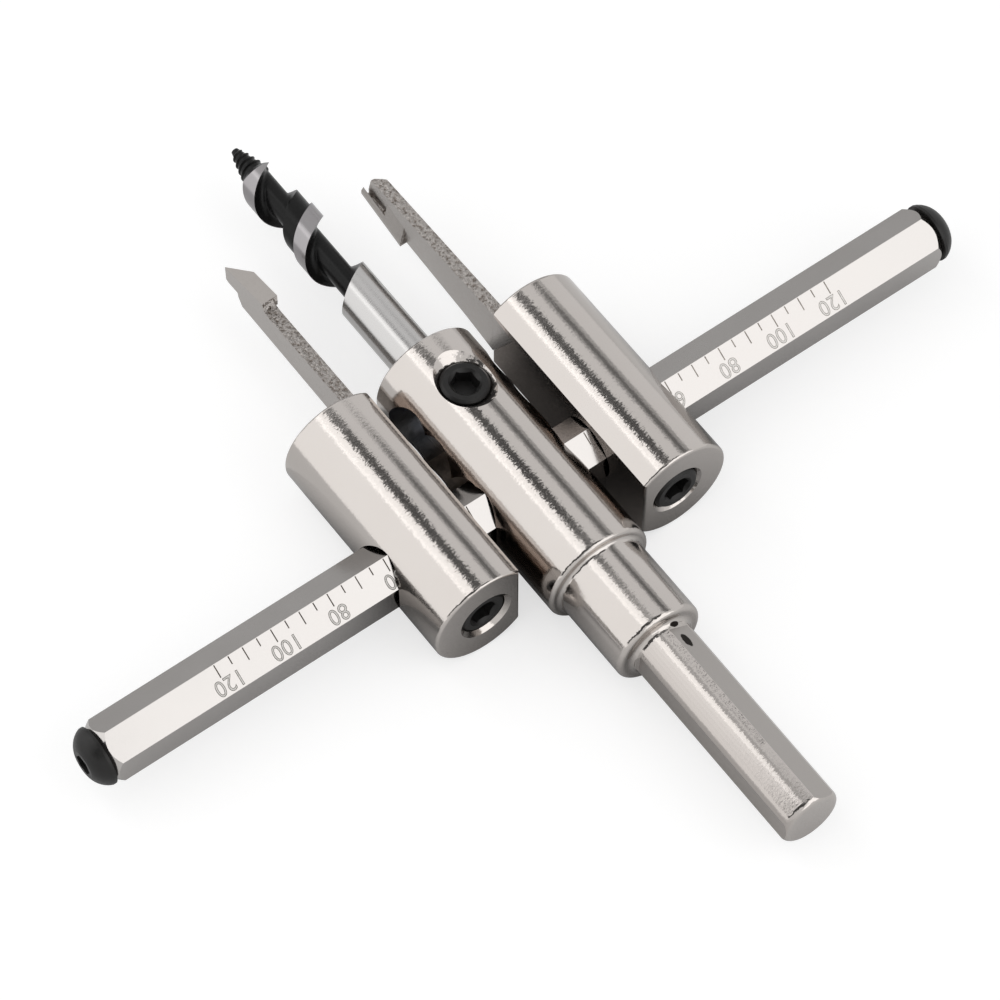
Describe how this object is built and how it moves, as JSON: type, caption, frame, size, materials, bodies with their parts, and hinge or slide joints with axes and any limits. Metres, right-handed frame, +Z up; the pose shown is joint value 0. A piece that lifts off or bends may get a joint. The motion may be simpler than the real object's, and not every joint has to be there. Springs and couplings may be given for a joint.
{
  "type": "circle cutter",
  "caption": "Adjustable circle cutter: round shank and hub, a hexagonal scale bar across it, sliding blade holders and a pilot auger.",
  "frame": {"origin": "centre of the shank's shoulder, where the chuck stops", "axes": "+Y along the shank's axis towards the pilot's point, +X along the scale bar, +Z up as the cutter lies"},
  "size_m": [0.1574, 0.1438, 0.0178],
  "materials": {
    "bright_plating": "bright nickel plating, faintly rippled",
    "blade_steel": "dull grey, rough on the edges",
    "bit_steel": "bright ground shank and land, black flutes",
    "black_oxide": "black oxide, satin"
  },
  "bodies": {
    "hub_and_bar": {"hub_body": "bright_plating", "cross_bar": "bright_plating", "bar_lock_screw": "black_oxide"},
    "pilot": {"pilot_bit": "bit_steel"},
    "pilot_screw": {"pilot_set_screw": "black_oxide"},
    "left_holder": {"holder_left": "bright_plating", "blade_left": "blade_steel"},
    "right_holder": {"holder_right": "bright_plating", "blade_right": "blade_steel"},
    "left_holder_screw": {"holder_set_screw_left": "black_oxide"},
    "right_holder_screw": {"holder_set_screw_right": "black_oxide"},
    "left_end_screw": {"end_screw_left": "black_oxide"},
    "right_end_screw": {"end_screw_right": "black_oxide"}
  },
  "joints": [
    {"name": "left_holder_slide", "type": "slide", "parent": "hub_and_bar", "child": "left_holder", "axis": [-1, 0, 0], "range_m": [-0.00075, 0.04425]},
    {"name": "right_holder_slide", "type": "slide", "parent": "hub_and_bar", "child": "right_holder", "axis": [1, 0, 0], "range_m": [-0.00105, 0.04395]},
    {"name": "pilot_slide", "type": "slide", "parent": "hub_and_bar", "child": "pilot", "axis": [0, 1, 0], "range_m": [0, 0.0144]},
    {"name": "pilot_screw_travel", "type": "slide", "parent": "hub_and_bar", "child": "pilot_screw", "axis": [0.1132, 0, 0.9936], "range_m": [0, 0.006]},
    {"name": "left_holder_screw_travel", "type": "slide", "parent": "left_holder", "child": "left_holder_screw", "axis": [0, -1, 0], "range_m": [0, 0.01]},
    {"name": "right_holder_screw_travel", "type": "slide", "parent": "right_holder", "child": "right_holder_screw", "axis": [0, -1, 0], "range_m": [0, 0.01]},
    {"name": "left_end_screw_travel", "type": "slide", "parent": "hub_and_bar", "child": "left_end_screw", "axis": [-1, 0, 0], "range_m": [0, 0.01]},
    {"name": "right_end_screw_travel", "type": "slide", "parent": "hub_and_bar", "child": "right_end_screw", "axis": [1, 0, 0], "range_m": [0, 0.01]}
  ]
}
